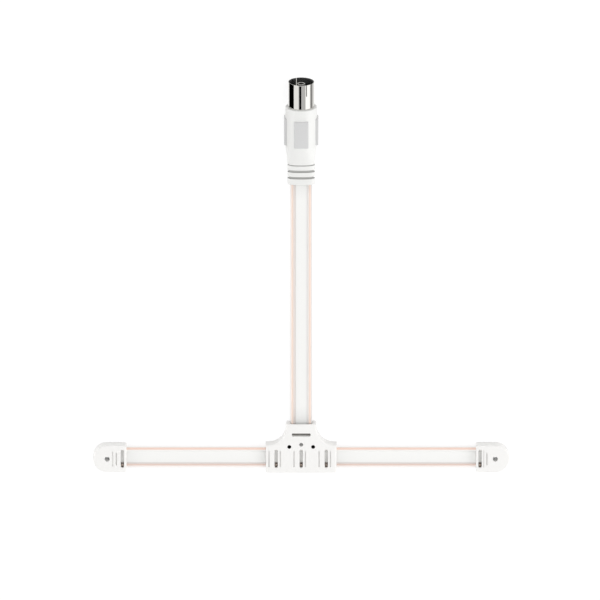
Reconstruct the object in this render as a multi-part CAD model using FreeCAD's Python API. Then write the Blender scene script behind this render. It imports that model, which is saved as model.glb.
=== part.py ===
import FreeCAD, Part
import math
import os

# A T-shaped folded dipole of flat twin-lead ribbon, lying face up. Millimetres.
# The origin is on the back face, where the line of the two arms crosses the plane of symmetry.
# +X runs along the right arm, +Y along the feeder to the plug, +Z up out of the face.

# Twin-lead ribbon: two round beads joined by a thin web, with a copper wire in each bead
RIBBON_WIDTH = 8.9
BEAD_DIAMETER = 2.0
WEB_THICKNESS = 0.9
WIRE_DIAMETER = 1.0
ARM_LENGTH = 57.3
FEEDER_LENGTH = 105.7

# White mouldings on the ribbon
MOULDING_THICKNESS = 4.9
FRONT_CHAMFER = 0.45
BACK_CHAMFER = 0.3
CORNER_RADIUS = 0.8

# Junction moulding
JUNCTION_WIDTH = 29.1
WING_HEIGHT = 12.2
NECK_WIDTH = 12.6
NECK_RISE = 9.1
ROOT_RADIUS = 8.0
FEEDER_SEAT = 6.0
NECK_WINDOW_DROP = 4.6
NECK_WINDOW_LENGTH = 7.8
CENTRE_HOLE_DIAMETER = 1.45
CENTRE_HOLE_DROP = 8.9
SIDE_HOLE_DIAMETER = 1.45
SIDE_HOLE_DROP = 9.85
SIDE_HOLE_SPACING = 9.8
SIDE_HOLE_DEPTH = 3.4

# Windows that show the ribbon inside the mouldings, and the grooves beside them
WINDOW_WIDTH = 1.2
WINDOW_LENGTH = 7.75
WINDOW_SPACING = 10.3
GROOVE_OFFSET = 2.36
GROOVE_WIDTH = 0.6
GROOVE_DEPTH = 0.3
GROOVE_LENGTH = 6.9

# End caps
CAP_LENGTH = 13.8
CAP_HEIGHT = 11.7
NAIL_HOLE_DIAMETER = 2.05
CAP_WINDOW_SETBACK = 1.7
CAP_CHANNEL_OFFSET = 2.0
CAP_CHANNEL_WIDTH = 1.4
CAP_CHANNEL_LENGTH = 6.3
CAP_SEAT = 4.3
BARE_WIRE = 1.7
SHORT_SETBACK = 0.75

# Solder joints in the junction
JOINT_DIAMETER = 1.7
JOINT_LENGTH = 2.2
CUT_WIRE_GAP = 4.2
STRIPPED_NOTCH = 11.0

# Plug grip
BODY_DIAMETER = 13.0
BODY_LENGTH = 17.0
COLLAR_CHAMFER = 0.4
PAD_DISTANCE = 7.0
PAD_WIDTH = 5.9
PAD_LENGTH = 11.4
PAD_SETBACK = 1.0
PAD_CHAMFER = 0.3
TAPER_LENGTH = 6.1
RELIEF_LENGTH = 10.5
RELIEF_DIAMETER = 11.3
RELIEF_THICKNESS = 4.4
RELIEF_FLAT_LENGTH = 7.0
RELIEF_END_CHAMFER = 0.6
RIB_GROOVES = 3
RIB_FIRST_GROOVE = 1.6
RIB_PITCH = 2.8
RIB_GROOVE_WIDTH = 0.7
RIB_GROOVE_DEPTH = 0.75
PLUG_SEAT = 12.0

# Coaxial socket
SHELL_BORE = 9.6
SHELL_WALL = 0.5
SHELL_EXPOSED = 10.6
SHELL_SEAT = 8.0
SHELL_RIM_CHAMFER = 0.12
SLIT_WIDTH = 0.35
SLIT_LENGTH = 4.8
SLIT_TURN = 24.0
SOCKET_DEPTH = 9.0
INSULATOR_THICKNESS = 4.0
CONTACT_DIAMETER = 3.2
CONTACT_BORE = 2.4
CONTACT_BORE_DEPTH = 7.6
CONTACT_RECESS = 0.75
CONTACT_STEM_DIAMETER = 2.2
CONTACT_TAIL_DIAMETER = 1.4
CONTACT_TAIL_LENGTH = 2.3

# Matching transformer: a ferrite block with two holes and two windings
CORE_SETBACK = 4.1
CORE_WIDTH = 7.6
CORE_THICKNESS = 3.6
CORE_LENGTH = 6.0
CORE_CHAMFER = 0.6
CORE_HOLE_DIAMETER = 1.7
CORE_HOLE_SPACING = 3.2
WINDING_DIAMETER = 0.5
WINDING_LIFT = 0.42
WINDING_OVERHANG = 0.8
LEAD_LENGTH = 2.1
LEAD_STRAIGHT = 0.6
INNER_MOULD_COVER = 0.8

# How a swept form meets itself at a corner of its route
MITRED = 1

# Places worked out from the sizes above
RIBBON_Z = MOULDING_THICKNESS / 2
WIRE_OFFSET = (RIBBON_WIDTH - BEAD_DIAMETER) / 2
WEB_TOP_Z = RIBBON_Z + WEB_THICKNESS / 2
WEB_REACH = math.sqrt((BEAD_DIAMETER ** 2 - WEB_THICKNESS ** 2) / 4)
NECK_TOP_Y = WING_HEIGHT / 2 + NECK_RISE
CAP_MOUTH_X = JUNCTION_WIDTH / 2 + ARM_LENGTH
CAP_END_X = CAP_MOUTH_X + CAP_LENGTH
CAP_WINDOW_X = CAP_MOUTH_X + CAP_WINDOW_SETBACK
DIPOLE_END_X = CAP_MOUTH_X + CAP_SEAT
SHORT_X = DIPOLE_END_X + BARE_WIRE - SHORT_SETBACK
PLUG_Z = PAD_DISTANCE
GRIP_REAR_Y = NECK_TOP_Y + FEEDER_LENGTH
FLAT_FRONT_Y = GRIP_REAR_Y + RELIEF_FLAT_LENGTH
TAPER_REAR_Y = GRIP_REAR_Y + RELIEF_LENGTH
BODY_REAR_Y = TAPER_REAR_Y + TAPER_LENGTH
COLLAR_Y = BODY_REAR_Y + BODY_LENGTH
RIM_Y = COLLAR_Y + SHELL_EXPOSED
INSULATOR_FRONT_Y = RIM_Y - SOCKET_DEPTH
INSULATOR_REAR_Y = INSULATOR_FRONT_Y - INSULATOR_THICKNESS
TAIL_END_Y = INSULATOR_REAR_Y - CONTACT_TAIL_LENGTH
CORE_FRONT_Y = INSULATOR_REAR_Y - CORE_SETBACK
CORE_REAR_Y = CORE_FRONT_Y - CORE_LENGTH
FEEDER_WIRE_END_Y = CORE_REAR_Y - LEAD_LENGTH
INNER_MOULD_REAR_Y = FEEDER_WIRE_END_Y - INNER_MOULD_COVER

# The feeder's route in the plane of symmetry, as (y, z): it turns inside the two mouldings, and
# between them it rises evenly to the axis of the plug
FEEDER_ROUTE = [
    (NECK_TOP_Y - FEEDER_SEAT, RIBBON_Z),
    (NECK_TOP_Y - FEEDER_SEAT / 2, RIBBON_Z),
    (GRIP_REAR_Y + PLUG_SEAT / 2, PLUG_Z),
    (GRIP_REAR_Y + PLUG_SEAT, PLUG_Z),
]


def vec(x, y, z):
    return FreeCAD.Vector(x, y, z)


def block(low, high):
    """A box between two opposite corners."""
    size = [high[i] - low[i] for i in range(3)]
    return Part.makeBox(size[0], size[1], size[2], vec(*low))


def upright(diameter, x, y, low_z, high_z):
    """A round bar or hole along Z."""
    return Part.makeCylinder(diameter / 2, high_z - low_z, vec(x, y, low_z), vec(0, 0, 1))


def along_plug(diameter, low_y, high_y):
    """A round bar on the axis of the plug."""
    return Part.makeCylinder(diameter / 2, high_y - low_y, vec(0, low_y, PLUG_Z), vec(0, 1, 0))


def line(start, end):
    return Part.LineSegment(start, end).toShape()


def arc(start, middle, end):
    return Part.Arc(start, middle, end).toShape()


def edges_at(shape, axis, value):
    """The edges of a shape that lie in one plane across an axis, 0 for X, 1 for Y, 2 for Z."""
    found = []
    for edge in shape.Edges:
        box = edge.BoundBox
        low = (box.XMin, box.YMin, box.ZMin)[axis]
        high = (box.XMax, box.YMax, box.ZMax)[axis]
        if abs(low - value) < 1e-4 and abs(high - value) < 1e-4:
            found.append(edge)
    return found


def upright_edges(shape, corners):
    """The edges along Z that stand at the given (x, y) corners."""
    found = []
    for edge in shape.Edges:
        box = edge.BoundBox
        for x, y in corners:
            span = max(abs(box.XMin - x), abs(box.XMax - x), abs(box.YMin - y), abs(box.YMax - y))
            if span < 1e-4:
                found.append(edge)
    return found


def moulding(outline, corners):
    """A flat moulding from its outline, with rounded corners and chamfered front and back edges."""
    solid = Part.Face(Part.Wire(outline)).extrude(vec(0, 0, MOULDING_THICKNESS))
    solid = solid.makeFillet(CORNER_RADIUS, upright_edges(solid, corners))
    solid = solid.makeChamfer(FRONT_CHAMFER, edges_at(solid, 2, MOULDING_THICKNESS))
    return solid.makeChamfer(BACK_CHAMFER, edges_at(solid, 2, 0))


def ribbon_section(place):
    """The dumbbell outline of the ribbon. place turns (across, up) into a point in space."""
    bead = BEAD_DIAMETER / 2
    web = WEB_THICKNESS / 2
    inner = WIRE_OFFSET - WEB_REACH
    outer = WIRE_OFFSET + bead
    return Part.Wire([
        arc(place(inner, web), place(outer, 0), place(inner, -web)),
        line(place(inner, -web), place(-inner, -web)),
        arc(place(-inner, -web), place(-outer, 0), place(-inner, web)),
        line(place(-inner, web), place(inner, web)),
    ])


def swept(section, points):
    """A section carried along straight runs."""
    return Part.makePolygon(points).makePipeShell([section], True, False, MITRED)


def bent_wire(points, diameter):
    """A round wire bent sharply at each point."""
    circle = Part.makeCircle(diameter / 2, points[0], points[1] - points[0])
    return swept(Part.Wire(circle), points)


def mirrored(shape):
    return shape.mirror(vec(0, 0, 0), vec(1, 0, 0))


def dipole_bar(diameter, y, low_x, high_x):
    """A round bar along the arms, in the plane of the ribbon."""
    return Part.makeCylinder(diameter / 2, high_x - low_x, vec(low_x, y, RIBBON_Z), vec(1, 0, 0))


def window_centres():
    """The x of each window that shows the dipole ribbon."""
    junction = [-WINDOW_SPACING, 0, WINDOW_SPACING]
    return [-CAP_WINDOW_X] + junction + [CAP_WINDOW_X]


def ribbon_windows():
    """The windows over the dipole ribbon, from its web up through the front face."""
    half = WINDOW_WIDTH / 2
    reach = WINDOW_LENGTH / 2
    return [block((x - half, -reach, WEB_TOP_Z), (x + half, reach, MOULDING_THICKNESS))
            for x in window_centres()]


def neck_window():
    """The window over the feeder ribbon, across the neck."""
    y = NECK_TOP_Y - NECK_WINDOW_DROP
    half = WINDOW_WIDTH / 2
    reach = NECK_WINDOW_LENGTH / 2
    return block((-reach, y - half, WEB_TOP_Z), (reach, y + half, MOULDING_THICKNESS))


# Copper wires of the dipole: the lower one is whole, the upper one is cut in the middle
wire_end_x = DIPOLE_END_X + BARE_WIRE
lower_conductor = dipole_bar(WIRE_DIAMETER, -WIRE_OFFSET, -wire_end_x, wire_end_x)
upper_right_conductor = dipole_bar(WIRE_DIAMETER, WIRE_OFFSET, CUT_WIRE_GAP / 2, wire_end_x)
upper_left_conductor = mirrored(upper_right_conductor)

# The bridge in each cap that joins the bare ends of the two wires
right_short = Part.makeCylinder(
    WIRE_DIAMETER / 2, 2 * WIRE_OFFSET, vec(SHORT_X, -WIRE_OFFSET, RIBBON_Z), vec(0, 1, 0))
right_short = right_short.cut([lower_conductor, upper_right_conductor])
left_short = mirrored(right_short)

# Dipole ribbon, with the upper bead stripped off round the solder joints
dipole_section = ribbon_section(lambda across, up: vec(-DIPOLE_END_X, across, RIBBON_Z + up))
dipole_full = Part.Face(dipole_section).extrude(vec(2 * DIPOLE_END_X, 0, 0))
stripped = block(
    (-STRIPPED_NOTCH / 2, WIRE_OFFSET - WEB_REACH, 0),
    (STRIPPED_NOTCH / 2, RIBBON_WIDTH, MOULDING_THICKNESS))
dipole_seat = dipole_full.cut(stripped)
dipole_ribbon = dipole_seat.cut([lower_conductor, upper_left_conductor, upper_right_conductor])

# Feeder ribbon and its two wires, which run on past both ends of the insulation
route = [vec(0, y, z) for y, z in FEEDER_ROUTE]
rise = (route[2] - route[1]).getAngle(vec(0, 1, 0))
print("feeder length", round(Part.makePolygon(route).Length, 1), "mm")
print("feeder turns", round(math.degrees(rise), 2), "degrees inside each moulding, no other bend")
feeder_section = ribbon_section(lambda across, up: route[0] + vec(across, 0, up))
feeder_full = swept(feeder_section, route)


def feeder_wire(side):
    """One wire of the feeder, from the cut wire of the dipole to the transformer."""
    start = vec(0, WIRE_OFFSET, RIBBON_Z)
    end = vec(0, FEEDER_WIRE_END_Y, PLUG_Z)
    points = [point + vec(side * WIRE_OFFSET, 0, 0) for point in [start] + route[1:-1] + [end]]
    return bent_wire(points, WIRE_DIAMETER)


# Solder sleeves where the feeder meets the cut wire of the dipole
right_sleeve = dipole_bar(
    JOINT_DIAMETER, WIRE_OFFSET, WIRE_OFFSET - JOINT_LENGTH / 2, WIRE_OFFSET + JOINT_LENGTH / 2)
left_sleeve = mirrored(right_sleeve)
right_joint = right_sleeve.cut(upper_right_conductor)
left_joint = mirrored(right_joint)
feeder_right_conductor = feeder_wire(1).cut(right_sleeve)
feeder_left_conductor = feeder_wire(-1).cut(left_sleeve)
feeder_ribbon = feeder_full.cut([feeder_right_conductor, feeder_left_conductor])


def junction_outline():
    """Two wings and a neck, with a round root on each side of the neck."""
    wing = JUNCTION_WIDTH / 2
    half = WING_HEIGHT / 2
    neck = NECK_WIDTH / 2
    root = min(ROOT_RADIUS, wing - neck - 2 * FRONT_CHAMFER, NECK_RISE - CORNER_RADIUS)
    slant = root * (1 - math.sqrt(0.5))
    right = [
        line(vec(wing, -half, 0), vec(wing, half, 0)),
        line(vec(wing, half, 0), vec(neck + root, half, 0)),
        arc(vec(neck + root, half, 0), vec(neck + slant, half + slant, 0), vec(neck, half + root, 0)),
        line(vec(neck, half + root, 0), vec(neck, NECK_TOP_Y, 0)),
    ]
    left = [mirrored(edge) for edge in right]
    top = line(vec(neck, NECK_TOP_Y, 0), vec(-neck, NECK_TOP_Y, 0))
    foot = line(vec(-wing, -half, 0), vec(wing, -half, 0))
    return [foot] + right + [top] + left[::-1]


def junction_grooves():
    """Shallow grooves on both sides of each junction window."""
    half = GROOVE_WIDTH / 2
    reach = GROOVE_LENGTH / 2
    floor_z = MOULDING_THICKNESS - GROOVE_DEPTH
    return [
        block((x + side * GROOVE_OFFSET - half, -reach, floor_z),
              (x + side * GROOVE_OFFSET + half, reach, MOULDING_THICKNESS))
        for x in (-WINDOW_SPACING, 0, WINDOW_SPACING)
        for side in (-1, 1)
    ]


wing_corners = [(side * JUNCTION_WIDTH / 2, -WING_HEIGHT / 2) for side in (-1, 1)]
neck_corners = [(side * NECK_WIDTH / 2, NECK_TOP_Y) for side in (-1, 1)]
junction_body = moulding(Part.sortEdges(junction_outline())[0], wing_corners + neck_corners)
centre_hole = upright(
    CENTRE_HOLE_DIAMETER, 0, NECK_TOP_Y - CENTRE_HOLE_DROP, 0, MOULDING_THICKNESS)
side_holes = [
    upright(SIDE_HOLE_DIAMETER, side * SIDE_HOLE_SPACING / 2, NECK_TOP_Y - SIDE_HOLE_DROP,
            MOULDING_THICKNESS - SIDE_HOLE_DEPTH, MOULDING_THICKNESS)
    for side in (-1, 1)
]
junction_moulding = junction_body.cut(
    ribbon_windows() + [neck_window(), centre_hole] + side_holes
    + junction_grooves())
junction_moulding = junction_moulding.cut([
    dipole_seat, upper_left_conductor, upper_right_conductor, feeder_full,
    feeder_left_conductor, feeder_right_conductor, left_sleeve, right_sleeve])


def cap_outline():
    """A flat mouth, two straight sides and a round end."""
    half = CAP_HEIGHT / 2
    side_end = CAP_END_X - half
    return [
        line(vec(CAP_MOUTH_X, -half, 0), vec(side_end, -half, 0)),
        arc(vec(side_end, -half, 0), vec(CAP_END_X, 0, 0), vec(side_end, half, 0)),
        line(vec(side_end, half, 0), vec(CAP_MOUTH_X, half, 0)),
        line(vec(CAP_MOUTH_X, half, 0), vec(CAP_MOUTH_X, -half, 0)),
    ]


cap_corners = [(CAP_MOUTH_X, side * CAP_HEIGHT / 2) for side in (-1, 1)]
cap_body = moulding(cap_outline(), cap_corners)
nail_hole = upright(NAIL_HOLE_DIAMETER, CAP_END_X - CAP_HEIGHT / 2, 0, 0, MOULDING_THICKNESS)
channel_x = CAP_WINDOW_X + CAP_CHANNEL_OFFSET
cap_channel = block(
    (channel_x, -CAP_CHANNEL_LENGTH / 2, MOULDING_THICKNESS - GROOVE_DEPTH),
    (channel_x + CAP_CHANNEL_WIDTH, CAP_CHANNEL_LENGTH / 2, MOULDING_THICKNESS))
right_end_cap = cap_body.cut(ribbon_windows() + [nail_hole, cap_channel])
right_end_cap = right_end_cap.cut(
    [dipole_seat, lower_conductor, upper_right_conductor, right_short])
left_end_cap = mirrored(right_end_cap)


# Coaxial socket
shell = along_plug(SHELL_BORE + 2 * SHELL_WALL, COLLAR_Y - SHELL_SEAT, RIM_Y)
shell_seat = shell.copy()
shell = shell.cut(along_plug(SHELL_BORE, COLLAR_Y - SHELL_SEAT, RIM_Y))
shell = shell.makeChamfer(SHELL_RIM_CHAMFER, edges_at(shell, 1, RIM_Y))
slits = block(
    (-SLIT_WIDTH / 2, RIM_Y - SLIT_LENGTH, PLUG_Z - SHELL_BORE),
    (SLIT_WIDTH / 2, RIM_Y, PLUG_Z + SHELL_BORE))
slits.rotate(vec(0, 0, PLUG_Z), vec(0, 1, 0), SLIT_TURN)
socket_shell = shell.cut(slits)
contact_tip_y = RIM_Y - CONTACT_RECESS
contact_body = along_plug(CONTACT_DIAMETER, INSULATOR_FRONT_Y, contact_tip_y)
contact_stem = along_plug(CONTACT_STEM_DIAMETER, INSULATOR_REAR_Y, INSULATOR_FRONT_Y)
contact_tail = along_plug(CONTACT_TAIL_DIAMETER, TAIL_END_Y, INSULATOR_REAR_Y)
centre_contact = contact_body.fuse([contact_stem, contact_tail]).removeSplitter()
centre_contact = centre_contact.cut(
    along_plug(CONTACT_BORE, contact_tip_y - CONTACT_BORE_DEPTH, contact_tip_y))
socket_insulator = along_plug(SHELL_BORE, INSULATOR_REAR_Y, INSULATOR_FRONT_Y).cut(contact_stem)

# Matching transformer
core_hole_x = CORE_HOLE_SPACING / 2
balun_core = block(
    (-CORE_WIDTH / 2, CORE_REAR_Y, PLUG_Z - CORE_THICKNESS / 2),
    (CORE_WIDTH / 2, CORE_FRONT_Y, PLUG_Z + CORE_THICKNESS / 2))
core_edges = [edge for edge in balun_core.Edges if edge.BoundBox.YLength > CORE_LENGTH / 2]
balun_core = balun_core.makeChamfer(CORE_CHAMFER, core_edges)
for side in (-1, 1):
    hole = along_plug(CORE_HOLE_DIAMETER, CORE_REAR_Y, CORE_FRONT_Y)
    balun_core = balun_core.cut(hole.translated(vec(side * core_hole_x, 0, 0)))

# The ribbon winding goes in through one hole and back through the other, above the socket winding
high_z = PLUG_Z + WINDING_LIFT
low_z = PLUG_Z - WINDING_LIFT
turn_front_y = CORE_FRONT_Y + WINDING_OVERHANG
turn_rear_y = CORE_REAR_Y - WINDING_OVERHANG
lead_in = [
    vec(WIRE_OFFSET, FEEDER_WIRE_END_Y, PLUG_Z),
    vec(WIRE_OFFSET, FEEDER_WIRE_END_Y + LEAD_STRAIGHT, PLUG_Z),
    vec(core_hole_x, CORE_REAR_Y - WINDING_DIAMETER / 2, high_z),
    vec(core_hole_x, turn_front_y, high_z),
]
lead_out = [vec(-point.x, point.y, point.z) for point in reversed(lead_in)]
ribbon_winding = bent_wire(lead_in + lead_out, WINDING_DIAMETER)
socket_lead_z = PLUG_Z - WINDING_LIFT + WINDING_DIAMETER / 4
socket_points = [
    vec(0, TAIL_END_Y, socket_lead_z),
    vec(0, TAIL_END_Y - LEAD_STRAIGHT, socket_lead_z),
    vec(core_hole_x, CORE_FRONT_Y + WINDING_DIAMETER, low_z),
    vec(core_hole_x, turn_rear_y, low_z),
    vec(-core_hole_x, turn_rear_y, low_z),
    vec(-core_hole_x, turn_front_y, low_z),
    vec(-SHELL_BORE / 2 - SHELL_WALL, TAIL_END_Y, low_z),
]
socket_winding = bent_wire(socket_points, WINDING_DIAMETER)
socket_winding = socket_winding.common(
    along_plug(SHELL_BORE, INNER_MOULD_REAR_Y, INSULATOR_REAR_Y))

# Inner mould, with a chamber that the ferrite block fits between its walls
inner_mould_full = along_plug(SHELL_BORE, INNER_MOULD_REAR_Y, INSULATOR_REAR_Y)
chamber = block(
    (-CORE_WIDTH / 2, FEEDER_WIRE_END_Y, PLUG_Z - CORE_THICKNESS / 2),
    (CORE_WIDTH / 2, INSULATOR_REAR_Y, PLUG_Z + CORE_THICKNESS / 2))
plug_inner_mould = inner_mould_full.cut(
    [chamber, socket_winding, feeder_left_conductor, feeder_right_conductor])


def plug_point(y, height):
    """A point in the plane of symmetry, at a height above the axis of the plug."""
    return vec(0, y, PLUG_Z + height)


def closed_outline(corners):
    """A flat face from the corners of its outline."""
    return Part.Face(Part.makePolygon(corners + corners[:1]))


def turned_grip():
    """The round form of the grip: a body, a taper and a thinner rear end."""
    body = BODY_DIAMETER / 2
    rear = RELIEF_DIAMETER / 2
    profile = closed_outline([
        plug_point(GRIP_REAR_Y, 0),
        plug_point(GRIP_REAR_Y, rear - RELIEF_END_CHAMFER),
        plug_point(GRIP_REAR_Y + RELIEF_END_CHAMFER, rear),
        plug_point(TAPER_REAR_Y, rear),
        plug_point(BODY_REAR_Y, body),
        plug_point(COLLAR_Y - COLLAR_CHAMFER, body),
        plug_point(COLLAR_Y, body - COLLAR_CHAMFER),
        plug_point(COLLAR_Y, 0),
    ])
    return profile.revolve(plug_point(0, 0), vec(0, 1, 0), 360)


def side_profile():
    """The grip seen from the side: the strain relief is flattened from above and below."""
    upper = [
        plug_point(GRIP_REAR_Y, RELIEF_THICKNESS / 2),
        plug_point(FLAT_FRONT_Y, RELIEF_THICKNESS / 2),
        plug_point(BODY_REAR_Y, BODY_DIAMETER / 2),
        plug_point(COLLAR_Y, BODY_DIAMETER / 2),
    ]
    lower = [vec(0, point.y, 2 * PLUG_Z - point.z) for point in reversed(upper)]
    slab = closed_outline(upper + lower).extrude(vec(2 * BODY_DIAMETER, 0, 0))
    return slab.translated(vec(-BODY_DIAMETER, 0, 0))


def relief_thickness(y):
    """The strain relief is flat at its rear end, and from there it thickens evenly to the body."""
    share = max(0, (y - FLAT_FRONT_Y) / (BODY_REAR_Y - FLAT_FRONT_Y))
    return RELIEF_THICKNESS + share * (BODY_DIAMETER - RELIEF_THICKNESS)


def rib_groove(y):
    """A groove right round the strain relief, as deep on its flats as on its round sides."""
    low_y = y - RIB_GROOVE_WIDTH / 2
    high_y = y + RIB_GROOVE_WIDTH / 2
    flat = relief_thickness(y) / 2 - RIB_GROOVE_DEPTH
    core = along_plug(RELIEF_DIAMETER - 2 * RIB_GROOVE_DEPTH, low_y, high_y).common(block(
        (-RELIEF_DIAMETER, low_y, PLUG_Z - flat), (RELIEF_DIAMETER, high_y, PLUG_Z + flat)))
    return along_plug(BODY_DIAMETER, low_y, high_y).cut(core)


def grip_pad():
    """One flat finger pad, on the upper side of the grip."""
    rear_y = BODY_REAR_Y + PAD_SETBACK
    pad = block((-PAD_WIDTH / 2, rear_y, PLUG_Z),
                (PAD_WIDTH / 2, rear_y + PAD_LENGTH, PLUG_Z + PAD_DISTANCE))
    return pad.makeChamfer(PAD_CHAMFER, edges_at(pad, 2, PLUG_Z + PAD_DISTANCE))


# Plug grip
grip_body = turned_grip().common(side_profile())
grip_body = grip_body.cut([
    rib_groove(TAPER_REAR_Y - RIB_FIRST_GROOVE - index * RIB_PITCH) for index in range(RIB_GROOVES)])
pads = []
for quarter_turn in range(4):
    pad = grip_pad()
    pad.rotate(vec(0, 0, PLUG_Z), vec(0, 1, 0), 90 * quarter_turn)
    pads.append(pad)
plug_grip = grip_body.fuse(pads).removeSplitter()
plug_grip = plug_grip.cut([
    shell_seat, inner_mould_full, feeder_full, feeder_left_conductor, feeder_right_conductor])

NODES = {
    "junction_moulding": junction_moulding,
    "left_end_cap": left_end_cap,
    "right_end_cap": right_end_cap,
    "dipole_ribbon": dipole_ribbon,
    "dipole_lower_conductor": lower_conductor,
    "dipole_upper_left_conductor": upper_left_conductor,
    "dipole_upper_right_conductor": upper_right_conductor,
    "left_end_short": left_short,
    "right_end_short": right_short,
    "feeder_ribbon": feeder_ribbon,
    "feeder_left_conductor": feeder_left_conductor,
    "feeder_right_conductor": feeder_right_conductor,
    "junction_left_joint": left_joint,
    "junction_right_joint": right_joint,
    "plug_grip": plug_grip,
    "plug_inner_mould": plug_inner_mould,
    "socket_shell": socket_shell,
    "socket_insulator": socket_insulator,
    "centre_contact": centre_contact,
    "balun_core": balun_core,
    "balun_ribbon_winding": ribbon_winding,
    "balun_socket_winding": socket_winding,
}

os.makedirs("parts", exist_ok=True)
for name, shape in NODES.items():
    shape.exportStep("parts/" + name + ".step")
    print(name, "solids", len(shape.Solids), "volume", round(shape.Volume, 3), "valid", shape.isValid())
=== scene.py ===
# %% [markdown]
# # A T-shaped dipole antenna of flat twin-lead ribbon
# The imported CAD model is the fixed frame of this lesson. Every piece below is in metres, in the
# frame of that model: the antenna lies face up on the floor, its arms run along X, and its feeder
# runs along +Y to a coaxial plug. We load the frame first and keep its box, because the pieces
# that we dress it with must stay inside that box.

# %% Load the frame
import math
import bmesh
import bpy
from mathutils import Matrix, Vector


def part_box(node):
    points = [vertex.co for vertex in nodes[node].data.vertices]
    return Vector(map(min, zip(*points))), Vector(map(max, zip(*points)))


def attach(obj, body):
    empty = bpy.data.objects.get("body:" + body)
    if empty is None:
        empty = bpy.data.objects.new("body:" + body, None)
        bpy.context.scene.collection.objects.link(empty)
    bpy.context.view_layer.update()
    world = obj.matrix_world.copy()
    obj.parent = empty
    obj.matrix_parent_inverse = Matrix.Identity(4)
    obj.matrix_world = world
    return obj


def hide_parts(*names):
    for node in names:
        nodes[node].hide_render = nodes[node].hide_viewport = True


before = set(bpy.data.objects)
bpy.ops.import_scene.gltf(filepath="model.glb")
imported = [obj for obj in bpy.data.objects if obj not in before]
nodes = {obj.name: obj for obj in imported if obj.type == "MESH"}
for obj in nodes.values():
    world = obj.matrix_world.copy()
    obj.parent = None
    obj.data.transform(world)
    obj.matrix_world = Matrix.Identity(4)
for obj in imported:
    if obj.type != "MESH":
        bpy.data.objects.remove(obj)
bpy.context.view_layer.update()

MM = 0.001
scene = bpy.context.scene
scene.view_settings.view_transform = "Standard"

# %% [markdown]
# ## Camera
# The photograph was taken with a long lens, from almost straight above the antenna, with the camera
# tipped towards the plug. A long lens keeps parallel edges parallel, so we stand several metres away.
# The frame's width in millimetres is measured along the arms.

# %% Camera
FRAME_WIDTH = 246 * MM
CAMERA_TIP = math.radians(20)
CAMERA_AIM = Vector((-0.5, 67.88, 0)) * MM
SENSOR = 36
LENS = 900

camera_data = bpy.data.cameras.new("camera")
camera_data.sensor_width = SENSOR
camera_data.lens = LENS
camera = bpy.data.objects.new("camera", camera_data)
scene.collection.objects.link(camera)
stand_off = FRAME_WIDTH * LENS / SENSOR
camera.location = CAMERA_AIM + Vector((0, math.sin(CAMERA_TIP), math.cos(CAMERA_TIP))) * stand_off
camera.rotation_euler = (-CAMERA_TIP, 0, 0)
camera_data.clip_end = 20
scene.camera = camera
print("camera stands", round(stand_off, 2), "m away")

# %% [markdown]
# ## Colour and nodes
# Colours are written as sRGB hex values, the way a paint program shows them, and one function turns
# them into the linear values that the shader works with. One more function adds a node, sets its
# inputs and links it.


# %% Colour and nodes
def linear(hex_colour):
    """An sRGB hex colour as a linear RGBA value."""
    channels = [int(hex_colour[i:i + 2], 16) / 255 for i in (1, 3, 5)]
    return [c / 12.92 if c <= 0.04045 else ((c + 0.055) / 1.055) ** 2.4 for c in channels] + [1.0]


def add_node(material, kind, inputs=None, **settings):
    """Adds a node. An input is a plain value, or another node's output socket."""
    node = material.node_tree.nodes.new(kind)
    for name, value in settings.items():
        setattr(node, name, value)
    for name, value in (inputs or {}).items():
        if isinstance(value, bpy.types.NodeSocket):
            material.node_tree.links.new(value, node.inputs[name])
        else:
            node.inputs[name].default_value = value
    return node


def new_material(name, **settings):
    """A material with one Principled shader, whose sockets are set by name."""
    material = bpy.data.materials.new(name)
    material.use_nodes = True
    shader = material.node_tree.nodes["Principled BSDF"]
    for socket, value in settings.items():
        shader.inputs[socket.replace("_", " ")].default_value = value
    return material, shader


# %% [markdown]
# ## Finishes
# The mouldings are soft PVC, injection moulded round the ribbon. PVC is a plain dielectric with a
# satin skin: the steel mould was spark eroded, which leaves a grain of a few tenths of a millimetre.
# The grain is drawn as a very shallow bump. The finger pads are matt and look greyer, and grey is
# painted in the narrow grooves of the strain relief as their shade.

# %% Moulded white PVC
PVC_WHITE = "#edecea"
GRIP_WHITE = "#e4e4e2"
PAD_WHITE = "#cacaca"
# The groove grey is painted shade in the grooves of the strain relief.
GROOVE_SHADE_GREY = "#b2b2b0"
GRAIN_SIZE = 0.35 * MM
GRAIN_DEPTH = 0.012 * MM


def moulded_pvc(name, colour, roughness):
    """White PVC from a mould with a fine grain."""
    material, shader = new_material(name, Base_Color=linear(colour), Roughness=roughness, IOR=1.53)
    place = add_node(material, "ShaderNodeTexCoord")
    grain = add_node(material, "ShaderNodeTexNoise", {
        "Vector": place.outputs["Object"], "Scale": 1 / GRAIN_SIZE, "Detail": 2.0})
    bump = add_node(material, "ShaderNodeBump", {
        "Height": grain.outputs["Fac"], "Distance": GRAIN_DEPTH, "Strength": 1.0})
    material.node_tree.links.new(bump.outputs["Normal"], shader.inputs["Normal"])
    return material


white_pvc = moulded_pvc("white_pvc_moulded", PVC_WHITE, 0.42)
grip_pvc = moulded_pvc("white_pvc_grip", GRIP_WHITE, 0.42)
pad_pvc = moulded_pvc("white_pvc_matt_pads", PAD_WHITE, 0.6)
groove_shade_pvc = moulded_pvc("white_pvc_painted_groove_shade", GROOVE_SHADE_GREY, 0.7)
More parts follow.
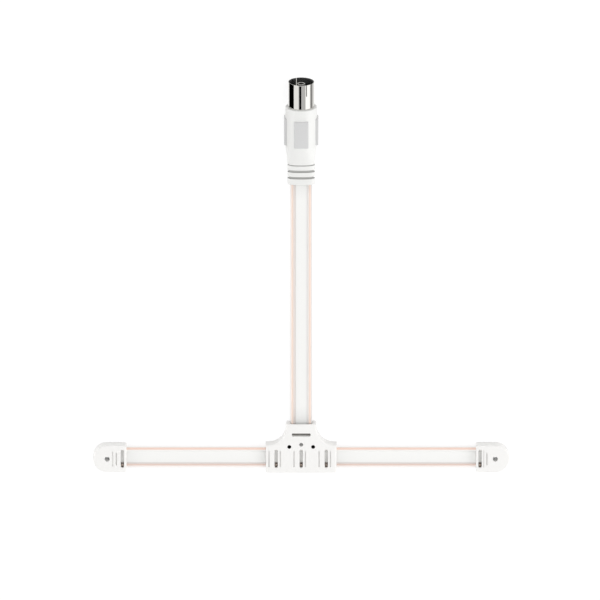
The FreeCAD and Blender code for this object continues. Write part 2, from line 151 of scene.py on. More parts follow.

# %% [markdown]
# The ribbon is extruded polythene, milky and a little see-through. Over each copper wire the warm
# colour of the metal glows through the skin of the bead. The inner flank of each bead is painted a
# little greyer than the web as shade, and the feeder's outer edges are painted grey as shade too.
# The ribbon's mesh carries an attribute, `across`, which runs from 0 at one edge to 1 at the other,
# and a colour ramp turns it into bands. The feeder's stripes are alike on both edges, but its left
# flank is painted in deeper shade than its right, as the brighter light comes from the right. On the
# dipole the wires glow through a little nearer to the feeder's side, and the stripe away from the
# feeder is painted in shade.

# %% Extruded polythene
SKIN = "#f3ece8"
STRIPE = "#eed8cb"
CLEAR_STRIPE = "#eed0c2"
SHADED_STRIPE = "#dfc6bb"
# The three flank greys are painted shade on the beads' inner flanks, darkest on the feeder's left.
FLANK_SHADE = "#dedad8"
PALE_FLANK_SHADE = "#e6e3e1"
WARM_FLANK_SHADE = "#d5cdc9"
# The edge grey is painted shade where the feeder's beads turn away from the light.
EDGE = "#d8d4d2"
WEB = "#efefed"
FEEDER_BANDS = [
    (0.00, EDGE), (0.03, SKIN), (0.07, STRIPE), (0.11, STRIPE), (0.16, WARM_FLANK_SHADE), (0.22, WARM_FLANK_SHADE),
    (0.27, WEB), (0.72, WEB), (0.765, PALE_FLANK_SHADE), (0.825, PALE_FLANK_SHADE), (0.87, STRIPE),
    (0.93, STRIPE), (0.96, EDGE), (1.00, EDGE)]
DIPOLE_BANDS = [
    (0.00, SKIN), (0.10, SKIN), (0.15, SHADED_STRIPE), (0.18, SHADED_STRIPE), (0.22, FLANK_SHADE),
    (0.26, FLANK_SHADE), (0.29, WEB), (0.87, WEB), (0.93, CLEAR_STRIPE), (0.97, CLEAR_STRIPE), (1.00, SKIN)]


def colour_ramp(material, place, bands):
    """A ramp of colours, each at its share of the way, as a colour socket."""
    ramp = add_node(material, "ShaderNodeValToRGB", {"Fac": place})
    stops = ramp.color_ramp.elements
    while len(stops) < len(bands):
        stops.new(1.0)
    for stop, (share, colour) in zip(stops, bands):
        stop.position = share
        stop.color = linear(colour)
    return ramp.outputs["Color"]


def milky_polythene(name, bands):
    """Extruded polythene with bands of colour across the ribbon."""
    material, shader = new_material(name, Roughness=0.33, IOR=1.51)
    place = add_node(material, "ShaderNodeAttribute", attribute_name="across")
    bands = colour_ramp(material, place.outputs["Fac"], bands)
    material.node_tree.links.new(bands, shader.inputs["Base Color"])
    return material


feeder_polythene = milky_polythene("milky_polythene_feeder", FEEDER_BANDS)
dipole_polythene = milky_polythene("milky_polythene_dipole", DIPOLE_BANDS)

# %% [markdown]
# The metals come next. The socket is brass with bright nickel plate, so it mirrors the studio.
# The wires are bare copper, dulled by the heat of the mould. The solder is grey and soft in its shine.
# Inside the socket there is black insulation, and the ferrite of the transformer is a dark ceramic.
# The lead-in of the socket's rim is painted black, the tube's bore grey and the contact darker, with
# its bore black, all as painted shade. The wells of the windows, the neck's slot, the blind holes
# and the notch at the neck are lined with painted shade.

# %% Metals and the plain inner finishes
nickel_plate, _ = new_material(
    "bright_nickel_plate", Base_Color=linear("#e2e0dc"), Metallic=1.0, Roughness=0.045)
# The contact's nickel is painted darker as shade from the tube round it.
shaded_contact_nickel, _ = new_material(
    "nickel_contact_painted_shade", Base_Color=linear("#b4b2ae"), Metallic=1.0, Roughness=0.12)
# The tube's bore is grey nickel, painted as shade.
shaded_nickel, _ = new_material(
    "nickel_bore_painted_shade", Base_Color=linear("#858585"), Metallic=1.0, Roughness=0.4)
# The contact's bore is painted black as shade.
contact_bore_shade, _ = new_material(
    "painted_shade_contact_bore", Base_Color=linear("#060606"), Roughness=0.9, Specular_IOR_Level=0.0)
copper_wire, _ = new_material(
    "dulled_copper_wire", Base_Color=linear("#e6d4c6"), Metallic=0.45, Roughness=0.35)
soft_solder, _ = new_material(
    "soft_solder", Base_Color=linear("#b4b4b2"), Metallic=1.0, Roughness=0.4)
# Black insulation; the same black paints the shade on the lead-in of the socket's rim.
black_insulation_and_rim_shade, _ = new_material(
    "black_insulation_and_rim_shade", Base_Color=linear("#0c0c0c"), Roughness=0.5)
inner_plastic, _ = new_material(
    "inner_mould_polythene", Base_Color=linear("#d9d9d2"), Roughness=0.5)
dark_ferrite, _ = new_material(
    "fired_ferrite", Base_Color=linear("#2b2a2a"), Roughness=0.65)
# The well linings are painted shade: grey-brown in the windows, darker in the neck's slot.
well_shade, _ = new_material(
    "painted_shade_well_lining", Base_Color=linear("#aaa19b"), Roughness=0.6)
slot_shade, _ = new_material(
    "painted_shade_slot_lining", Base_Color=linear("#8b8884"), Roughness=0.6)
# The blind holes and the notch at the neck are lined with painted shade.
shaded_hole, _ = new_material(
    "painted_shade_pin_hole", Base_Color=linear("#2a2928"), Roughness=0.6)

NODE_FINISHES = {
    "dipole_lower_conductor": copper_wire,
    "dipole_upper_left_conductor": copper_wire,
    "dipole_upper_right_conductor": copper_wire,
    "left_end_short": copper_wire,
    "right_end_short": copper_wire,
    "feeder_left_conductor": copper_wire,
    "feeder_right_conductor": copper_wire,
    "junction_left_joint": soft_solder,
    "junction_right_joint": soft_solder,
    "plug_inner_mould": inner_plastic,
    "socket_insulator": black_insulation_and_rim_shade,
    "balun_core": dark_ferrite,
    "balun_ribbon_winding": copper_wire,
    "balun_socket_winding": copper_wire,
}
for name, finish in NODE_FINISHES.items():
    nodes[name].data.materials.clear()
    nodes[name].data.materials.append(finish)
print("finishes on", len(NODE_FINISHES), "CAD nodes")

# %% [markdown]
# ## Helpers for modelling
# A piece is shaped in a bmesh with its place in its vertices, so its object stays at the origin.
# Flat faces stay flat and round ones round if we mark the edges that turn by more than a set angle.
# Windows and holes are carved with a Boolean, which we bake into the mesh, because its cutters are
# not part of the antenna.


# %% Helpers for modelling
SHARP_TURN = math.radians(32)
WINDOW_ROUND = 0.5


def finished(name, bm, materials, replaced):
    """Makes a bmesh a piece of the antenna that stands for the given CAD nodes."""
    mesh = bpy.data.meshes.new(name)
    bm.to_mesh(mesh)
    bm.free()
    piece = bpy.data.objects.new(name, mesh)
    scene.collection.objects.link(piece)
    for material in materials:
        mesh.materials.append(material)
    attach(piece, "root")
    if replaced:
        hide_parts(*replaced)
    return piece


def shade(piece):
    """Smooth shading, with edges kept crisp where two faces turn sharply."""
    piece.data.shade_smooth()
    piece.data.set_sharp_from_angle(angle=SHARP_TURN)


def carve(piece, cutter_bm):
    """Cuts a bmesh's form out of a piece."""
    cutter_mesh = bpy.data.meshes.new("cutter")
    cutter_bm.to_mesh(cutter_mesh)
    cutter_bm.free()
    cutter = bpy.data.objects.new("cutter", cutter_mesh)
    scene.collection.objects.link(cutter)
    boolean = piece.modifiers.new("carve", "BOOLEAN")
    boolean.object = cutter
    boolean.solver = "EXACT"
    bpy.context.view_layer.update()
    carved = bpy.data.meshes.new_from_object(
        piece.evaluated_get(bpy.context.evaluated_depsgraph_get()))
    piece.modifiers.clear()
    old = piece.data
    carved.name = piece.name
    piece.data = carved
    bpy.data.meshes.remove(old)
    bpy.data.objects.remove(cutter)


def add_block(bm, low, high):
    """A box between two corners, in millimetres."""
    middle = (Vector(low) + Vector(high)) / 2 * MM
    size = (Vector(high) - Vector(low)) * MM
    place = Matrix.Translation(middle) @ Matrix.Diagonal((*size, 1))
    return bmesh.ops.create_cube(bm, size=1, matrix=place)["verts"]


def round_edges(bm, edges, amount, segments):
    """Rounds edges by an amount in millimetres."""
    bmesh.ops.bevel(
        bm, geom=edges, offset=amount * MM, offset_type="OFFSET", affect="EDGES",
        segments=segments, profile=0.5, material=-1, clamp_overlap=True)


def add_window(bm, low, high):
    """A box between two corners, in millimetres, whose upright edges are rounded."""
    verts = add_block(bm, low, high)
    upright = {edge for vert in verts for edge in vert.link_edges
               if (edge.verts[0].co - edge.verts[1].co).to_2d().length < 1e-7}
    round_edges(bm, list(upright), WINDOW_ROUND, 4)


def add_pin(bm, x, y, low_z, high_z, diameter):
    """A round pin along Z, in millimetres."""
    place = Matrix.Translation(Vector((x, y, (low_z + high_z) / 2)) * MM)
    bmesh.ops.create_cone(
        bm, cap_ends=True, segments=48, radius1=diameter / 2 * MM, radius2=diameter / 2 * MM,
        depth=(high_z - low_z) * MM, matrix=place)


# %% [markdown]
# ## Places read from the frame
# The CAD nodes say where everything is, so most places are read from their boxes in millimetres.

# %% Places read from the frame
def box_mm(node):
    low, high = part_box(node)
    return low / MM, high / MM


junction_low, junction_high = box_mm("junction_moulding")
cap_low, cap_high = box_mm("right_end_cap")
grip_low, grip_high = box_mm("plug_grip")
shell_low, shell_high = box_mm("socket_shell")
dipole_low, dipole_high = box_mm("dipole_ribbon")
wire_low, wire_high = box_mm("dipole_lower_conductor")
contact_low, contact_high = box_mm("centre_contact")
insulator_low, insulator_high = box_mm("socket_insulator")

THICKNESS = junction_high.z
RIBBON_Z = (dipole_low.z + dipole_high.z) / 2
RIBBON_WIDTH = dipole_high.y - dipole_low.y
BEAD_RADIUS = (dipole_high.z - dipole_low.z) / 2
WIRE_OFFSET = RIBBON_WIDTH / 2 - BEAD_RADIUS
WIRE_RADIUS = (wire_high.z - wire_low.z) / 2
WEB_THICKNESS = 0.9
PLUG_Z = (grip_low.z + grip_high.z) / 2
NECK_TOP_Y = junction_high.y
GRIP_REAR_Y = grip_low.y
print("ribbon", round(RIBBON_WIDTH, 2), "mm wide, plug axis", round(PLUG_Z, 2), "mm up")

# %% [markdown]
# ## Junction moulding
# The junction holds the feeder and the two arms together. Its plan is a plate with a neck, and a
# round root on each side. We draw half of the outline from a few vertices, spin one of them for the
# root, mirror it, fill it and extrude it. The rim is bevelled, more on the front than on the back.

# %% Junction outline
WING_HALF = junction_high.x
WING_TOP = -junction_low.y
NECK_HALF = 6.3
ROOT_RADIUS = 7.35
FRONT_ROUND = 0.55
BACK_ROUND = 0.3
CORNER_ROUND = 0.8
ROOT_STEPS = 18


def chain(bm, points):
    """Vertices at the given points in millimetres, joined in a row."""
    verts = [bm.verts.new(Vector(point) * MM) for point in points]
    for first, second in zip(verts, verts[1:]):
        bm.edges.new((first, second))
    return verts


def plate(bm, corners):
    """Fills the flat outline in bm, thickens it and rounds its upright corners and its rims."""
    bmesh.ops.remove_doubles(bm, verts=bm.verts, dist=1e-6)
    bmesh.ops.edgenet_fill(bm, edges=bm.edges)
    lifted = bmesh.ops.extrude_face_region(bm, geom=list(bm.faces))["geom"]
    tops = [item for item in lifted if isinstance(item, bmesh.types.BMVert)]
    bmesh.ops.translate(bm, verts=tops, vec=(0, 0, THICKNESS * MM))
    bmesh.ops.recalc_face_normals(bm, faces=bm.faces)
    upright = []
    for edge in bm.edges:
        first, second = edge.verts
        flat_distance = (first.co - second.co).to_2d().length
        for x, y in corners:
            near = (first.co.to_2d() - Vector((x, y)) * MM).length
            if flat_distance < 1e-7 and near < 1e-5:
                upright.append(edge)
    round_edges(bm, upright, CORNER_ROUND, 6)
    for height, amount in ((THICKNESS * MM, FRONT_ROUND), (0, BACK_ROUND)):
        rim = [edge for edge in bm.edges if all(abs(v.co.z - height) < 1e-7 for v in edge.verts)]
        round_edges(bm, rim, amount, 4)


junction_bm = bmesh.new()
half = chain(junction_bm, [
    (0, -WING_TOP, 0), (WING_HALF, -WING_TOP, 0), (WING_HALF, WING_TOP, 0),
    (NECK_HALF + ROOT_RADIUS, WING_TOP, 0)])
bmesh.ops.spin(
    junction_bm, geom=[half[-1]], cent=Vector((NECK_HALF + ROOT_RADIUS, WING_TOP + ROOT_RADIUS, 0)) * MM,
    axis=(0, 0, -1), angle=math.pi / 2, steps=ROOT_STEPS)
root_end = min(junction_bm.verts, key=lambda v: (v.co - Vector(
    (NECK_HALF, WING_TOP + ROOT_RADIUS, 0)) * MM).length)
neck = chain(junction_bm, [(NECK_HALF, NECK_TOP_Y, 0), (0, NECK_TOP_Y, 0)])
junction_bm.edges.new((root_end, neck[0]))
bmesh.ops.mirror(
    junction_bm, geom=junction_bm.verts[:] + junction_bm.edges[:], axis="X", merge_dist=1e-6)
plate(junction_bm, [
    (side * x, y) for side in (-1, 1) for x, y in ((WING_HALF, -WING_TOP), (NECK_HALF, NECK_TOP_Y))])
junction = finished(
    "junction_shell", junction_bm, [white_pvc], ["junction_moulding"])

# %% [markdown]
# The mould's core pins leave narrow windows through which the ribbon shows, blind holes, and one
# hole right through for a nail. Shallow grooves run beside the windows. Where the ribbon goes in,
# the mouth is a plain slot as high as the beads, and a notch over the web at the neck shows dark,
# with a lining of painted shade.

# %% Junction windows and holes
WINDOW_WIDTH = 1.35
WINDOW_LOW = -3.87
WINDOW_HIGH = 4.12
WINDOW_SPACING = 10.3
WINDOW_FLOOR = RIBBON_Z - BEAD_RADIUS - 0.15
GROOVE_PLACES = (-2.95, 1.7)
GROOVE_WIDTH = 0.45
GROOVE_LENGTH = 6.9
GROOVE_DEPTH = 0.6
NECK_WINDOW_Y = NECK_TOP_Y - 4.6
NECK_WINDOW_LENGTH = 7.8
PIN_HOLE_DIAMETER = 1.65
PIN_HOLE_DEPTH = 3.4
CENTRE_HOLE_Y = NECK_TOP_Y - 8.9
SIDE_HOLE_Y = NECK_TOP_Y - 9.85
SIDE_HOLE_X = 4.9
MOUTH_CLEAR = 0.12
MOUTH_DEPTH = 1.6
NOTCH_HALF = RIBBON_WIDTH / 2 - 0.15
NOTCH_TOP = RIBBON_Z + 1.95
NOTCH_DEPTH = 1.6
MOUTH_LOW = RIBBON_Z - BEAD_RADIUS - MOUTH_CLEAR
MOUTH_HIGH = RIBBON_Z + BEAD_RADIUS + MOUTH_CLEAR
ABOVE = THICKNESS + 1
BELOW = -1
junction_windows = [-WINDOW_SPACING, 0, WINDOW_SPACING]

cutter = bmesh.new()
for x in junction_windows:
    add_window(cutter, (x - WINDOW_WIDTH / 2, WINDOW_LOW, WINDOW_FLOOR),
               (x + WINDOW_WIDTH / 2, WINDOW_HIGH, ABOVE))
    for place in GROOVE_PLACES:
        groove_x = x + place
        add_block(cutter, (groove_x - GROOVE_WIDTH / 2, -GROOVE_LENGTH / 2, THICKNESS - GROOVE_DEPTH),
                  (groove_x + GROOVE_WIDTH / 2, GROOVE_LENGTH / 2, ABOVE))
add_window(cutter, (-NECK_WINDOW_LENGTH / 2, NECK_WINDOW_Y - WINDOW_WIDTH / 2, WINDOW_FLOOR),
           (NECK_WINDOW_LENGTH / 2, NECK_WINDOW_Y + WINDOW_WIDTH / 2, ABOVE))
add_pin(cutter, 0, CENTRE_HOLE_Y, BELOW, ABOVE, PIN_HOLE_DIAMETER)
for side in (-1, 1):
    add_pin(cutter, side * SIDE_HOLE_X, SIDE_HOLE_Y, THICKNESS - PIN_HOLE_DEPTH, ABOVE, PIN_HOLE_DIAMETER)
add_block(cutter, (-RIBBON_WIDTH / 2 - MOUTH_CLEAR, NECK_TOP_Y - MOUTH_DEPTH, MOUTH_LOW),
          (RIBBON_WIDTH / 2 + MOUTH_CLEAR, NECK_TOP_Y + 1, MOUTH_HIGH))
for side in (-1, 1):
    inner, outer = sorted((side * (WING_HALF - MOUTH_DEPTH), side * (WING_HALF + 1)))
    add_block(cutter, (inner, -RIBBON_WIDTH / 2 - MOUTH_CLEAR, MOUTH_LOW),
              (outer, RIBBON_WIDTH / 2 + MOUTH_CLEAR, MOUTH_HIGH))
carve(junction, cutter)
notch = bmesh.new()
add_block(notch, (-NOTCH_HALF, NECK_TOP_Y - NOTCH_DEPTH, RIBBON_Z), (NOTCH_HALF, NECK_TOP_Y + 2, NOTCH_TOP))
carve(junction, notch)
shade(junction)
print("junction has", len(junction.data.polygons), "faces")

# %% [markdown]
# ## End caps
# Each arm ends in a cap with a round end and a nail hole. A cap is made like the junction, from a few
# corners and a half turn, and the left one is turned into a mirror image. Two fine groove lines are
# cut beside each window, and on the left cap they lie farther from it.

# %% End caps
CAP_HALF = cap_high.y
CAP_ROUND_X = cap_high.x - CAP_HALF
CAP_MOUTH_X = cap_low.x
CAP_WINDOW_X = CAP_MOUTH_X + 1.7
RIGHT_CAP_LINES = [(1.5, 0.35, 7.6, 0.35), (2.8, 0.5, 5.4, 0.7)]
LEFT_CAP_LINES = [(2.5, 0.5, 5.4, 0.7), (4.0, 0.4, 6.4, 0.45)]
NAIL_HOLE_DIAMETER = 2.15
CAP_STEPS = 40


def end_cap_form():
    """A right cap before its window is cut."""
    bm = bmesh.new()
    verts = chain(bm, [
        (CAP_ROUND_X, CAP_HALF, 0), (CAP_MOUTH_X, CAP_HALF, 0),
        (CAP_MOUTH_X, -CAP_HALF, 0), (CAP_ROUND_X, -CAP_HALF, 0)])
    bmesh.ops.spin(
        bm, geom=[verts[-1]], cent=Vector((CAP_ROUND_X, 0, 0)) * MM, axis=(0, 0, 1),
        angle=math.pi, steps=CAP_STEPS)
    plate(bm, [(CAP_MOUTH_X, CAP_HALF), (CAP_MOUTH_X, -CAP_HALF)])
    return bm


def end_cap_cutter(lines):
    """The window, the groove lines, the nail hole and the mouth of a right cap."""
    bm = bmesh.new()
    add_window(bm, (CAP_WINDOW_X - WINDOW_WIDTH / 2, WINDOW_LOW, WINDOW_FLOOR),
               (CAP_WINDOW_X + WINDOW_WIDTH / 2, WINDOW_HIGH, ABOVE))
    for place, width, length, depth in lines:
        x = CAP_WINDOW_X + place
        add_block(bm, (x - width / 2, -length / 2, THICKNESS - depth), (x + width / 2, length / 2, ABOVE))
    add_pin(bm, CAP_ROUND_X, 0, BELOW, ABOVE, NAIL_HOLE_DIAMETER)
    add_block(bm, (CAP_MOUTH_X - 1, -RIBBON_WIDTH / 2 - MOUTH_CLEAR, MOUTH_LOW),
              (CAP_MOUTH_X + MOUTH_DEPTH / 2, RIBBON_WIDTH / 2 + MOUTH_CLEAR, MOUTH_HIGH))
    return bm


def mirror_in_x(piece):
    """Turns a piece into its mirror image on the other arm."""
    bm = bmesh.new()
    bm.from_mesh(piece.data)
    bmesh.ops.scale(bm, vec=(-1, 1, 1), verts=bm.verts)
    bmesh.ops.reverse_faces(bm, faces=bm.faces)
    bm.to_mesh(piece.data)
    bm.free()


right_cap = finished(
    "right_cap_shell", end_cap_form(), [white_pvc], ["right_end_cap"])
carve(right_cap, end_cap_cutter(RIGHT_CAP_LINES))
left_cap = finished(
    "left_cap_shell", end_cap_form(), [white_pvc], ["left_end_cap"])
carve(left_cap, end_cap_cutter(LEFT_CAP_LINES))
mirror_in_x(left_cap)
for cap in (right_cap, left_cap):
    shade(cap)
print("caps have", len(right_cap.data.polygons), "and", len(left_cap.data.polygons), "faces")

# %% [markdown]
# ## Ribbon
# Twin-lead is a dumbbell in section: two round beads with a thin web between them. We draw the
# section once, from arcs that are spun, and carry it along a line by extruding its edges from
# station to station. The stations come from a NURBS spline through the route's points.


# %% Ribbon helpers
BEAD_STEPS = 20
WEB_HALF = WEB_THICKNESS / 2
WEB_ANGLE = math.asin(WEB_HALF / BEAD_RADIUS)


def read_route(points):
    """Points along a smooth spline whose control points are given in millimetres."""
    curve = bpy.data.curves.new("route", "CURVE")
    curve.dimensions = "3D"
    spline = curve.splines.new("NURBS")
    spline.points.add(len(points) - 1)
    for target, point in zip(spline.points, points):
        target.co = (*(Vector(point) * MM), 1)
    spline.order_u = 3
    spline.use_endpoint_u = True
    spline.resolution_u = 16
    holder = bpy.data.objects.new("route", curve)
    scene.collection.objects.link(holder)
    bpy.context.view_layer.update()
    mesh = bpy.data.meshes.new_from_object(holder)
    stations = [vertex.co.copy() for vertex in mesh.vertices]
    bpy.data.objects.remove(holder)
    bpy.data.curves.remove(curve)
    bpy.data.meshes.remove(mesh)
    return stations


def ribbon_section(bm, start, across):
    """The closed outline of the ribbon round a point. across is the direction of its width."""
    along = Vector((0, 0, 1)).cross(across)
    loops = []
    for side in (1, -1):
        centre = start + across * (side * WIRE_OFFSET * MM)
        inner = centre - across * (side * BEAD_RADIUS * math.cos(WEB_ANGLE) * MM)
        first = bm.verts.new(inner + Vector((0, 0, side * WEB_HALF * MM)))
        turned = bmesh.ops.spin(
            bm, geom=[first], cent=centre, axis=along, angle=2 * math.pi - 2 * WEB_ANGLE,
            steps=BEAD_STEPS)
        loops.append((first, turned["geom_last"][0]))
    for (first, last), (other_first, other_last) in (loops, loops[::-1]):
        bm.edges.new((last, other_first))


def ribbon(name, stations, across, material, replaced):
    """A ribbon along its stations, closed at both ends."""
    bm = bmesh.new()
    ribbon_section(bm, stations[0], across)
    ring = bm.edges[:]
    first_ring = ring
    for before, after in zip(stations, stations[1:]):
        made = bmesh.ops.extrude_edge_only(bm, edges=ring)["geom"]
        verts = [item for item in made if isinstance(item, bmesh.types.BMVert)]
        ring = [item for item in made if isinstance(item, bmesh.types.BMEdge)]
        bmesh.ops.translate(bm, verts=verts, vec=after - before)
    for end in (first_ring, ring):
        bmesh.ops.contextual_create(bm, geom=end)
    bmesh.ops.recalc_face_normals(bm, faces=bm.faces)
    return finished(name, bm, [material], replaced)


# %% [markdown]
# The dipole ribbon lies straight between its two caps, held by the junction in the middle. The
# feeder leaves the neck and rises evenly to the axis of the plug. For a few millimetres beside each
# moulding its polythene is painted greyer, as shade from the moulding.

# %% Ribbons
DIPOLE_ROUTE = [
    (dipole_low.x, 0, RIBBON_Z),
    (dipole_low.x / 3, 0, RIBBON_Z),
    (dipole_high.x / 3, 0, RIBBON_Z),
    (dipole_high.x, 0, RIBBON_Z),
]
FEEDER_ROUTE = [
    (0, NECK_TOP_Y - 6, RIBBON_Z),
    (0, NECK_TOP_Y - 3, RIBBON_Z),
    (0, GRIP_REAR_Y + 6, PLUG_Z),
    (0, GRIP_REAR_Y + 12, PLUG_Z),
]
# Painted shade along the feeder, greyest at each end beside a moulding.
END_SHADE_BANDS = [
    (0.00, "#f2f2f2"), (0.03, "#f9f9f9"), (0.07, "#ffffff"),
    (0.93, "#ffffff"), (0.97, "#f9f9f9"), (1.00, "#f2f2f2")]
dipole_line = read_route(DIPOLE_ROUTE)
feeder_line = read_route(FEEDER_ROUTE)
dipole_ribbon = ribbon(
    "dipole_twin_lead", dipole_line, Vector((0, 1, 0)), dipole_polythene, ["dipole_ribbon"])
feeder_ribbon = ribbon(
    "feeder_twin_lead", feeder_line, Vector((1, 0, 0)), feeder_polythene, ["feeder_ribbon"])


def paint_end_shade(material, low_y, high_y):
    """Paints shade on a ribbon's polythene beside the mouldings, greyest next to each moulding."""
    shader = material.node_tree.nodes["Principled BSDF"]
    bands = shader.inputs["Base Color"].links[0].from_socket
    place = add_node(material, "ShaderNodeTexCoord")
    axes = add_node(material, "ShaderNodeSeparateXYZ", {0: place.outputs["Object"]})
    along = add_node(material, "ShaderNodeMapRange", {
        "Value": axes.outputs["Y"], "From Min": low_y * MM, "From Max": high_y * MM})
    end_shade_colours = colour_ramp(material, along.outputs["Result"], END_SHADE_BANDS)
    both = add_node(material, "ShaderNodeVectorMath", {0: bands, 1: end_shade_colours}, operation="MULTIPLY")
    material.node_tree.links.new(both.outputs["Vector"], shader.inputs["Base Color"])


def length_of(line):
    return sum((after - before).length for before, after in zip(line, line[1:]))


# The feeder gets painted shade beside the neck and the grip.
paint_end_shade(feeder_polythene, NECK_TOP_Y, GRIP_REAR_Y)
print("dipole ribbon", round(length_of(dipole_line) / MM, 1), "mm, feeder",
      round(length_of(feeder_line) / MM, 1), "mm")

# %% [markdown]
# The core pins press against the wires, so each window shows a short stretch of bare copper in a
# well. We carve the bead away there, and the copper wire of the CAD model shows. Each well gets a
# thin lining, open at the top, whose grey-brown is painted shade. In the neck's window a darker
# lining of painted shade covers both wires.

# %% Bare copper in the windows
window_xs = junction_windows + [-CAP_WINDOW_X, CAP_WINDOW_X]
BEAD_INNER = WIRE_OFFSET - BEAD_RADIUS
WELL_EDGE = BEAD_INNER - 0.35
WELL_FLOOR = RIBBON_Z - 0.25
WELL_TOP = RIBBON_Z + 1.2
NECK_WELL_TOP = RIBBON_Z + 0.8
LINING_CLEAR = 0.02
LINING_TOP = THICKNESS - 0.2
lining_half = WINDOW_WIDTH / 2 - LINING_CLEAR
window_end = WINDOW_LOW + LINING_CLEAR
neck_end = NECK_WINDOW_LENGTH / 2 - LINING_CLEAR
dipole_wells = [
    ((x - lining_half, window_end, WELL_FLOOR), (x + lining_half, -WELL_EDGE, WELL_TOP))
    for x in window_xs]
neck_well = (
    (-neck_end, NECK_WINDOW_Y - lining_half, RIBBON_Z + WIRE_RADIUS + LINING_CLEAR),
    (neck_end, NECK_WINDOW_Y + lining_half, NECK_WELL_TOP))


def strip(piece, wells, across):
    """Cuts wells through a ribbon, then writes each point's place across it."""
    cutter = bmesh.new()
    for low, high in wells:
        add_block(cutter, (*low[:2], BELOW), (*high[:2], ABOVE))
    carve(piece, cutter)
    shade(piece)
    places = piece.data.attributes.new("across", "FLOAT", "POINT")
    for vert, place in zip(piece.data.vertices, places.data):
        place.value = 0.5 + vert.co.dot(across) / (RIBBON_WIDTH * MM)


def open_lining(bm):
    """Takes the lids off linings, and turns the rest to face inwards."""
    lids = [face for face in bm.faces if face.normal.z > 0.9]
    bmesh.ops.delete(bm, geom=lids, context="FACES_ONLY")
    bmesh.ops.reverse_faces(bm, faces=bm.faces)


strip(dipole_ribbon, dipole_wells, Vector((0, 1, 0)))
strip(feeder_ribbon, [neck_well], Vector((1, 0, 0)))
well_bm = bmesh.new()
for low, high in dipole_wells:
    add_window(well_bm, low, high)
dipole_faces = set(well_bm.faces)
add_window(well_bm, *neck_well)
for face in set(well_bm.faces) - dipole_faces:
    face.material_index = 1
well_bm.normal_update()
open_lining(well_bm)
ends = [face for face in well_bm.faces if face.normal.y < -0.9
        and abs(face.calc_center_median().y + WELL_EDGE * MM) < 1e-6]
bmesh.ops.delete(well_bm, geom=ends, context="FACES_ONLY")
# The linings paint the shade in the wells.
wells = finished("window_wells", well_bm, [well_shade, slot_shade], None)

hole_bm = bmesh.new()
for side in (-1, 1):
    add_pin(hole_bm, side * SIDE_HOLE_X, SIDE_HOLE_Y, THICKNESS - PIN_HOLE_DEPTH + LINING_CLEAR,
            LINING_TOP, PIN_HOLE_DIAMETER - 2 * LINING_CLEAR)
hole_bm.normal_update()
open_lining(hole_bm)
# The through holes are lined with the grip's slightly greyer white, a little painted shade on their walls.
through_bm = bmesh.new()
through_holes = [(0, CENTRE_HOLE_Y, PIN_HOLE_DIAMETER)]
through_holes += [(side * CAP_ROUND_X, 0, NAIL_HOLE_DIAMETER) for side in (-1, 1)]
for x, y, diameter in through_holes:
    add_pin(through_bm, x, y, LINING_CLEAR, LINING_TOP, diameter - 2 * LINING_CLEAR)
through_bm.normal_update()
ends = [face for face in through_bm.faces if abs(face.normal.z) > 0.9]
bmesh.ops.delete(through_bm, geom=ends, context="FACES_ONLY")
bmesh.ops.reverse_faces(through_bm, faces=through_bm.faces)
through = finished("through_hole_linings", through_bm, [grip_pvc], None)
# The notch's back and roof are lined with painted shade, like the blind holes.
notch_back = NECK_TOP_Y - NOTCH_DEPTH + LINING_CLEAR
notch_roof = NOTCH_TOP - LINING_CLEAR
notch_front = NECK_TOP_Y - FRONT_ROUND
roof_low = [hole_bm.verts.new(Vector((x, notch_back, RIBBON_Z)) * MM) for x in (-NOTCH_HALF, NOTCH_HALF)]
roof_back = [hole_bm.verts.new(Vector((x, notch_back, notch_roof)) * MM) for x in (NOTCH_HALF, -NOTCH_HALF)]
roof_front = [hole_bm.verts.new(Vector((x, notch_front, notch_roof)) * MM) for x in (-NOTCH_HALF, NOTCH_HALF)]
hole_bm.faces.new(roof_low[::-1] + roof_back[::-1])
hole_bm.faces.new(roof_back[::-1] + roof_front[::-1])
pin_holes = finished("pin_hole_linings", hole_bm, [shaded_hole], None)
for piece in (wells, through, pin_holes):
    shade(piece)
print("linings", len(dipole_wells) + 1, "wells and", len(through_holes) + 2, "holes")

# %% [markdown]
# ## Plug grip
# The grip is one soft moulding. It starts as a ring at its collar, and the ring is extruded rearwards
# from station to station and scaled, which gives the body, the taper and the ribbed strain relief.
# Each ring has its own half width and half thickness, so the round body runs into an oval that is
# little thicker than the ribbon it grips.

# %% Grip stations
COLLAR_Y = grip_high.y
RELIEF_LENGTH = 10.5
TAPER_LENGTH = 6.1
TAPER_REAR_Y = GRIP_REAR_Y + RELIEF_LENGTH
BODY_REAR_Y = TAPER_REAR_Y + TAPER_LENGTH
BODY_RADIUS = 6.5
RELIEF_RADIUS = 5.65
COLLAR_ROUND = 0.45
END_ROUND = 0.6
RIB_GROOVES = [(1.75, 0.26, 0.35), (4.55, 0.47, 0.75), (7.35, 0.47, 0.75)]
RIB_LIP = 0.12
GRIP_STEPS = 96
ROUND_STEPS = 5
RIB_END_Y = GRIP_REAR_Y + 2 * END_ROUND
FLAT_START_Y = BODY_REAR_Y
FLAT_END_Y = GRIP_REAR_Y + 7.0
REAR_HALF_THICKNESS = 2.2
BLUNTNESS = 0.25
SHELL_RADIUS = (shell_high.x - shell_low.x) / 2


def quarter_turn(radius):
    """(depth, drop) pairs round a quarter circle."""
    for step in range(ROUND_STEPS + 1):
        turn = math.pi / 2 * step / ROUND_STEPS
        yield radius * (1 - math.sin(turn)), radius * (1 - math.cos(turn))


